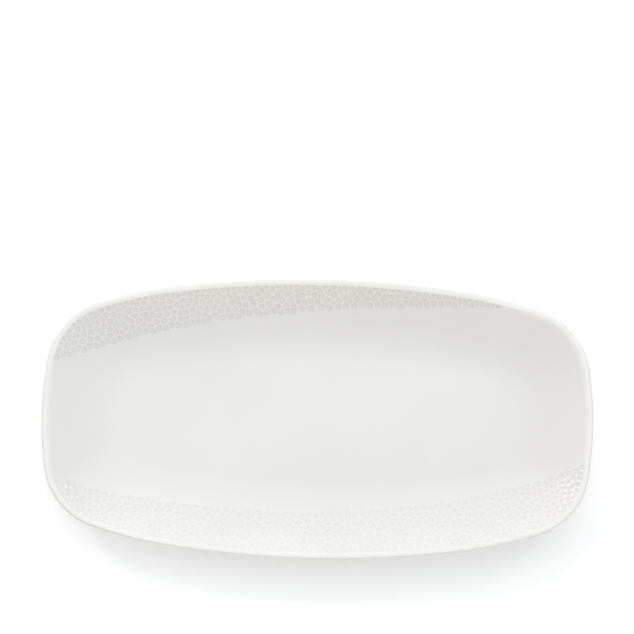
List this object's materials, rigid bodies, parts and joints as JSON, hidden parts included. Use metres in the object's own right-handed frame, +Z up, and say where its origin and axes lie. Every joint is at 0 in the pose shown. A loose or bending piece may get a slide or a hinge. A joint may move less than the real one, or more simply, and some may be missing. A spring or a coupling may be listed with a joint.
{
  "type": "serving plate",
  "caption": "Oblong white ceramic serving plate: shallow dish with bulging long sides, a rounded lip, a foot ring and bands of pebbled relief.",
  "frame": {"origin": "on the standing plane, under the middle of the dish", "axes": "+X along the plate, +Y across it, +Z up out of the dish"},
  "size_m": [0.298, 0.153, 0.02],
  "materials": {
    "white_glaze": "gloss"
  },
  "bodies": {
    "root": {"plate": "white_glaze"}
  },
  "joints": []
}
